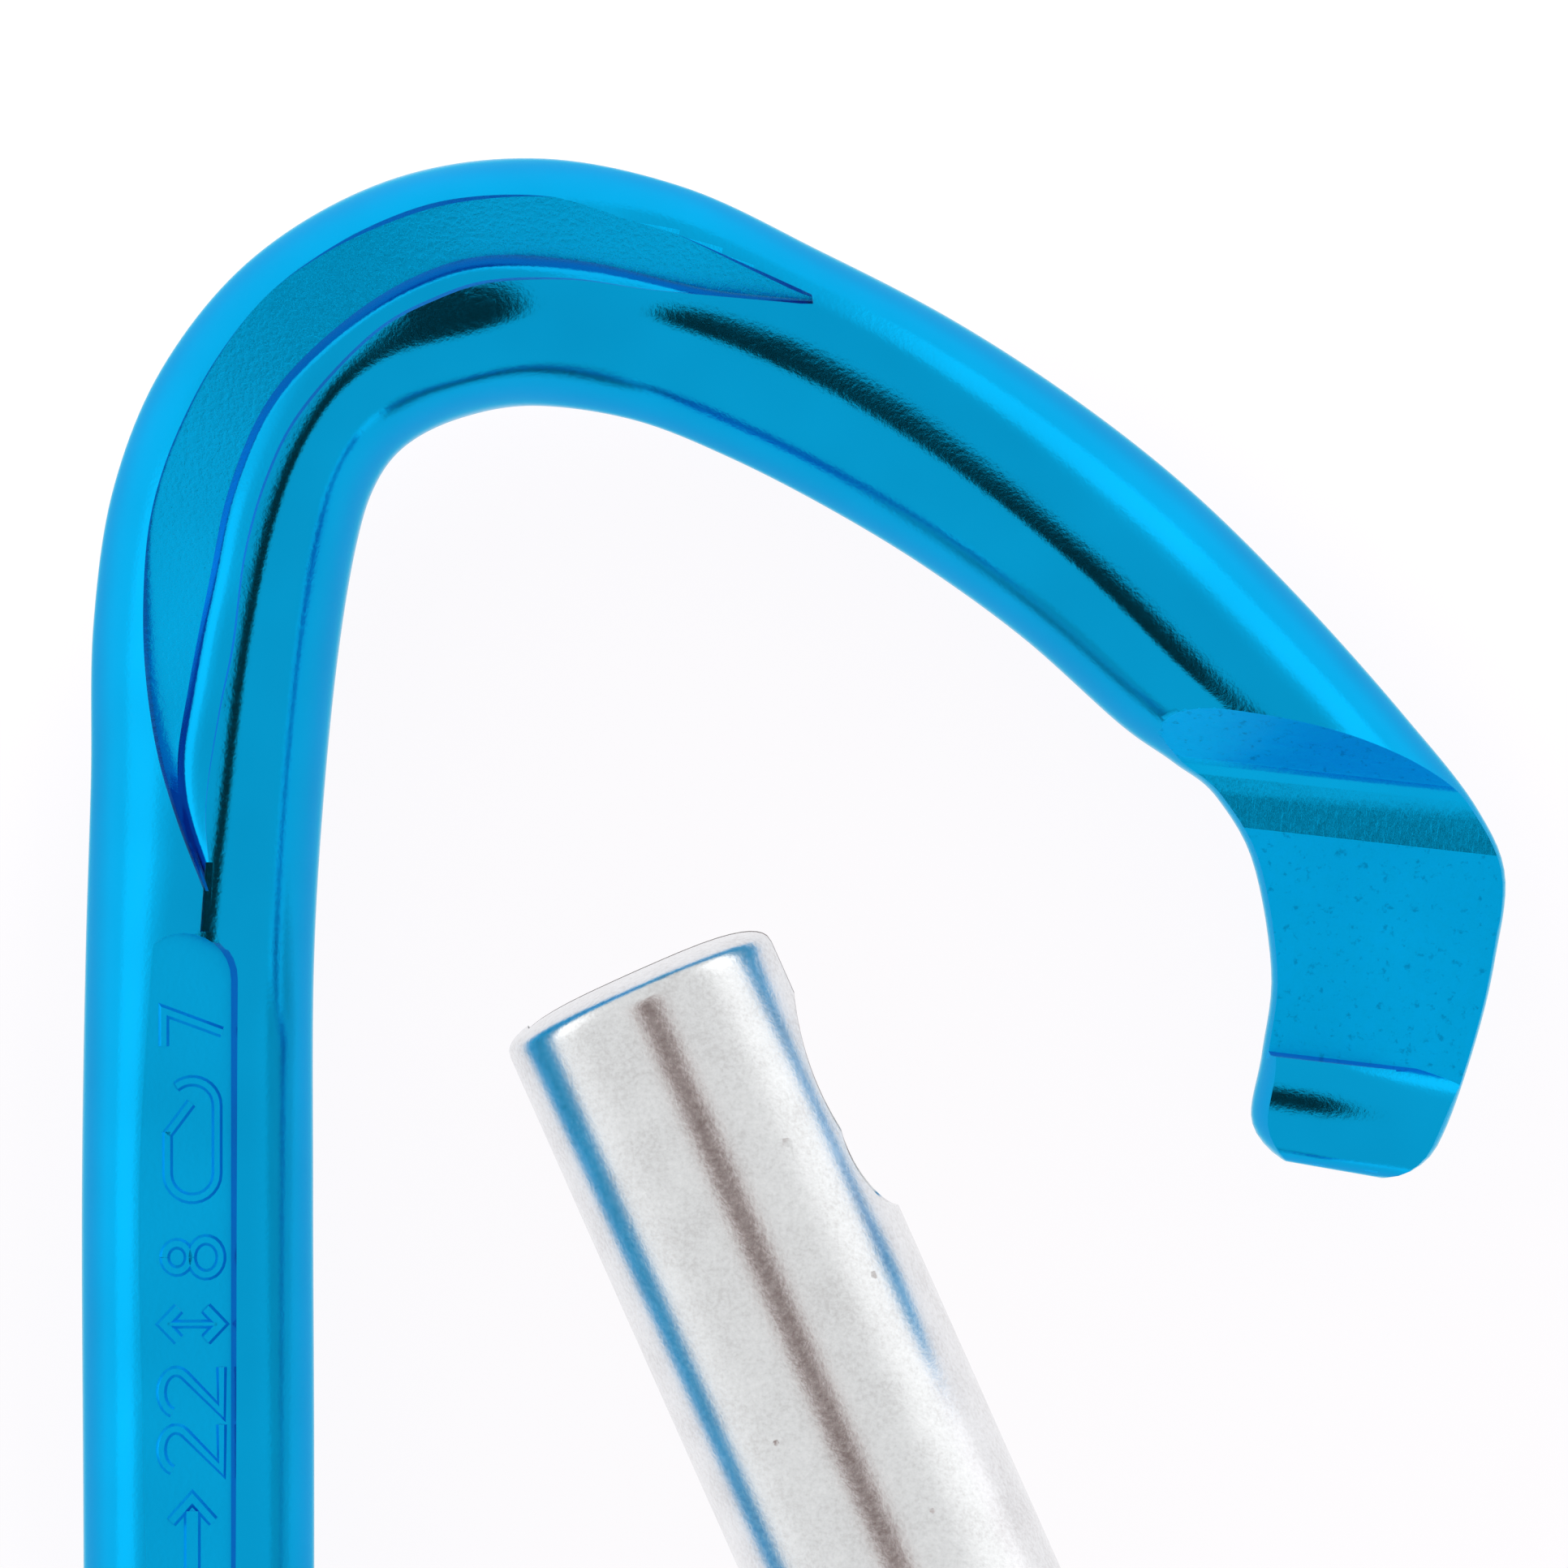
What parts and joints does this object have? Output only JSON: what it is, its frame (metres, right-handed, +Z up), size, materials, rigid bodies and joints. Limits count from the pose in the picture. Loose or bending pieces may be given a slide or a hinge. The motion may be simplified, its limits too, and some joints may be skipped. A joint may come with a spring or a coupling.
{
  "type": "climbing quickdraw",
  "caption": "Climbing quickdraw: two keylock carabiners, one with a straight gate held open and one with a bent gate, joined by a sewn tape sling.",
  "frame": {"origin": "middle of the bounding box, on the surface that it lies on", "axes": "+X towards the gates, +Y towards the bolt-end carabiner, +Z up from the surface that it lies on"},
  "size_m": [0.0548, 0.2874, 0.0142],
  "materials": {
    "blue_anodised": "glossy anodised",
    "bare_aluminium": "satin polished",
    "steel": "polished stainless",
    "tape": "woven tape",
    "thread": "zigzag bar tack stitching",
    "rubber": "matte",
    "label": "blank satin label"
  },
  "bodies": {
    "bolt_body": {"bolt_carabiner_body": "blue_anodised"},
    "bolt_gate": {"bolt_gate": "bare_aluminium", "bolt_gate_rivet": "steel", "bolt_gate_spring": "steel"},
    "bolt_plunger": {"bolt_plunger": "steel"},
    "rope_body": {"rope_carabiner_body": "blue_anodised"},
    "rope_gate": {"rope_gate": "bare_aluminium", "rope_gate_rivet": "steel", "rope_gate_spring": "steel"},
    "rope_plunger": {"rope_plunger": "steel"},
    "dogbone": {"sling_webbing": "tape", "bartack_bolt_1_top": "thread", "bartack_bolt_1_under": "thread", "bartack_bolt_2_top": "thread", "bartack_bolt_2_under": "thread", "bartack_rope_1_top": "thread", "bartack_rope_1_under": "thread", "bartack_rope_2_top": "thread", "bartack_rope_2_under": "thread", "sewn_label": "label", "rubber_keeper": "rubber"}
  },
  "joints": [
    {"name": "bolt_carabiner_swing", "type": "hinge", "parent": "dogbone", "child": "bolt_body", "pos_m": [-0.00806, 0.054, 0.0071], "axis": [1, 0, 0], "range_deg": [-165, 165]},
    {"name": "bolt_gate_hinge", "type": "hinge", "parent": "bolt_body", "child": "bolt_gate", "pos_m": [0.01511, 0.06907, 0.0071], "axis": [0, 0, 1], "range_deg": [-34.05, 5], "stiffness_Nm_per_rad": 0.2, "springref_deg": -93.97},
    {"name": "bolt_plunger_slide", "type": "slide", "parent": "bolt_gate", "child": "bolt_plunger", "axis": [-0.4075, 0.9132, 0], "range_m": [-0.00149, 0.00022], "deforming": ["bolt_gate_spring"]},
    {"name": "rope_carabiner_swing", "type": "hinge", "parent": "dogbone", "child": "rope_body", "pos_m": [-0.00806, -0.054, 0.0071], "axis": [1, 0, 0], "range_deg": [-90, 90]},
    {"name": "rope_gate_hinge", "type": "hinge", "parent": "rope_body", "child": "rope_gate", "pos_m": [0.01511, -0.06907, 0.0071], "axis": [0, 0, -1], "range_deg": [0, 39.05], "stiffness_Nm_per_rad": 0.2, "springref_deg": -59.99},
    {"name": "rope_plunger_slide", "type": "slide", "parent": "rope_gate", "child": "rope_plunger", "axis": [0.1736, -0.9848, 0], "range_m": [0, 0.00171], "deforming": ["rope_gate_spring"]}
  ],
  "couplings": [
    {"joint": "bolt_plunger_slide", "follows": "bolt_gate_hinge", "m_per_rad": 0.0025},
    {"joint": "rope_plunger_slide", "follows": "rope_gate_hinge", "m_per_rad": 0.0025}
  ]
}
